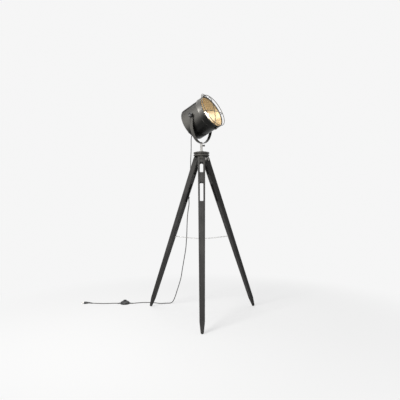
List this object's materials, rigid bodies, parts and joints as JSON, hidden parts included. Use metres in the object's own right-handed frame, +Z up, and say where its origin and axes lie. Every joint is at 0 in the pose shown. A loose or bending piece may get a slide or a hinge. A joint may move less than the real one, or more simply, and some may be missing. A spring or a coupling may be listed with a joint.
{
  "type": "tripod spotlight floor lamp",
  "caption": "Floor lamp with a drum spotlight head and wire guard, tilting in a strap yoke on a short post over three folding wooden legs, with a cord, foot switch and plug.",
  "frame": {"origin": "on the floor, under the middle of the box that the three feet and the lamp fill", "axes": "+Z up, -Y along the front leg; the lamp points towards +X, partly towards -Y and upwards"},
  "size_m": [1.2633, 0.7479, 1.4597],
  "materials": {
    "black_wood": "black stained, satin",
    "shoe_rubber": "moulded, matt",
    "hub_paint": "painted dark grey, satin",
    "plated_steel": "nickel plated, satin",
    "chain_steel": "nickel plated",
    "dark_steel": "blackened",
    "drum_paint": "gunmetal grey, satin",
    "yoke_paint": "gunmetal grey, satin",
    "reflector_gold": "warm anodised, semi-bright",
    "guard_wire": "dull plated",
    "porcelain": "glazed white",
    "bulb_glass": "frosted, lit",
    "cap_brass": "pressed",
    "knob_plastic": "moulded, matt",
    "cord_rubber": "smooth, matt",
    "switch_plastic": "moulded, satin",
    "pin_brass": "bare"
  },
  "bodies": {
    "hub": {"hub_casting": "hub_paint", "top_plate": "hub_paint", "post_tube": "plated_steel", "post_nut": "dark_steel", "brace_ring": "chain_steel", "front_chain": "chain_steel", "right_chain": "chain_steel", "left_chain": "chain_steel", "cord_drop": "cord_rubber", "cord_floor": "cord_rubber", "cord_plug_end": "cord_rubber", "switch_case": "switch_plastic", "switch_base": "switch_plastic", "plug_body": "switch_plastic", "plug_pins": "pin_brass"},
    "front_leg": {"front_leg_laths": "black_wood", "front_leg_spacers": "black_wood", "front_leg_core": "black_wood", "front_foot": "shoe_rubber", "front_pivot_bolt": "dark_steel", "front_chain_eye": "chain_steel"},
    "front_wing_nut": {"front_wing_nut": "plated_steel"},
    "right_leg": {"right_leg_laths": "black_wood", "right_leg_spacers": "black_wood", "right_leg_core": "black_wood", "right_foot": "shoe_rubber", "right_pivot_bolt": "dark_steel", "right_chain_eye": "chain_steel"},
    "right_wing_nut": {"right_wing_nut": "plated_steel"},
    "left_leg": {"left_leg_laths": "black_wood", "left_leg_spacers": "black_wood", "left_leg_core": "black_wood", "left_foot": "shoe_rubber", "left_pivot_bolt": "dark_steel", "left_chain_eye": "chain_steel", "cord_clip": "knob_plastic"},
    "left_wing_nut": {"left_wing_nut": "plated_steel"},
    "clamp_screw": {"post_clamp_screw": "dark_steel"},
    "yoke": {"yoke_strap": "yoke_paint", "yoke_spigot": "plated_steel", "spigot_screw": "dark_steel", "cord_yoke": "cord_rubber"},
    "lamp_head": {"tilt_bolts": "dark_steel", "drum_shell": "drum_paint", "back_cover": "drum_paint", "cover_screws": "dark_steel", "bezel": "drum_paint", "reflector": "reflector_gold", "lamp_holder": "porcelain", "holder_bracket": "plated_steel", "bulb_cap": "cap_brass", "bulb_glass": "bulb_glass", "guard_hinge": "dark_steel", "cord_gland": "knob_plastic", "cord_head": "cord_rubber"},
    "near_knob": {"near_star_knob": "knob_plastic"},
    "far_knob": {"far_star_knob": "knob_plastic"},
    "bezel_screw": {"bezel_screw": "dark_steel"},
    "guard": {"wire_guard": "guard_wire"},
    "switch_button": {"switch_button": "switch_plastic"}
  },
  "joints": [
    {"name": "front_leg_fold", "type": "hinge", "parent": "hub", "child": "front_leg", "pos_m": [0, 0.0731, 1.03444], "axis": [1, 0, 0], "range_deg": [0, 20.8], "deforming": ["front_chain"]},
    {"name": "front_wing_nut_turn", "type": "hinge", "parent": "front_leg", "child": "front_wing_nut", "pos_m": [0, 0.0731, 1.03444], "axis": [1, 0, 0], "range_deg": [-180, 180]},
    {"name": "right_leg_fold", "type": "hinge", "parent": "hub", "child": "right_leg", "pos_m": [0.02815, 0.12185, 1.03444], "axis": [-0.5, 0.866, 0], "range_deg": [0, 20.8], "deforming": ["right_chain"]},
    {"name": "right_wing_nut_turn", "type": "hinge", "parent": "right_leg", "child": "right_wing_nut", "pos_m": [0.02815, 0.12185, 1.03444], "axis": [-0.5, 0.866, 0], "range_deg": [-180, 180]},
    {"name": "left_leg_fold", "type": "hinge", "parent": "hub", "child": "left_leg", "pos_m": [-0.02815, 0.12185, 1.03444], "axis": [-0.5, -0.866, 0], "range_deg": [0, 20.8], "deforming": ["left_chain", "cord_drop", "cord_floor"]},
    {"name": "left_wing_nut_turn", "type": "hinge", "parent": "left_leg", "child": "left_wing_nut", "pos_m": [-0.02815, 0.12185, 1.03444], "axis": [-0.5, -0.866, 0], "range_deg": [-180, 180]},
    {"name": "clamp_screw_turn", "type": "hinge", "parent": "hub", "child": "clamp_screw", "pos_m": [0, 0.1056, 1.12169], "axis": [0.9397, -0.342, 0], "range_deg": [-180, 180]},
    {"name": "yoke_pan", "type": "hinge", "parent": "hub", "child": "yoke", "pos_m": [0, 0.1056, 1.12969], "axis": [0, 0, 1], "range_deg": [-120, 120], "deforming": ["cord_yoke", "cord_drop"]},
    {"name": "head_tilt", "type": "hinge", "parent": "yoke", "child": "lamp_head", "pos_m": [0, 0.1056, 1.30869], "axis": [-0.5519, -0.8339, 0], "range_deg": [-65, 50], "deforming": ["cord_head"]},
    {"name": "near_knob_turn", "type": "hinge", "parent": "lamp_head", "child": "near_knob", "pos_m": [0, 0.1056, 1.30869], "axis": [-0.5519, -0.8339, 0], "range_deg": [-180, 180]},
    {"name": "far_knob_turn", "type": "hinge", "parent": "lamp_head", "child": "far_knob", "pos_m": [0, 0.1056, 1.30869], "axis": [0.5519, 0.8339, 0], "range_deg": [-180, 180]},
    {"name": "bezel_screw_turn", "type": "hinge", "parent": "lamp_head", "child": "bezel_screw", "pos_m": [0.09206, 0.04467, 1.23042], "axis": [0.3458, -0.2289, -0.91], "range_deg": [-180, 180]},
    {"name": "guard_swing", "type": "hinge", "parent": "lamp_head", "child": "guard", "pos_m": [0.01574, 0.06612, 1.44439], "axis": [-0.468, -0.8633, -0.1892], "range_deg": [0, 80]},
    {"name": "switch_press", "type": "slide", "parent": "hub", "child": "switch_button", "axis": [0, 0, -1], "range_m": [0, 0.003], "stiffness_N_per_m": 800, "springref_m": -0.002}
  ]
}
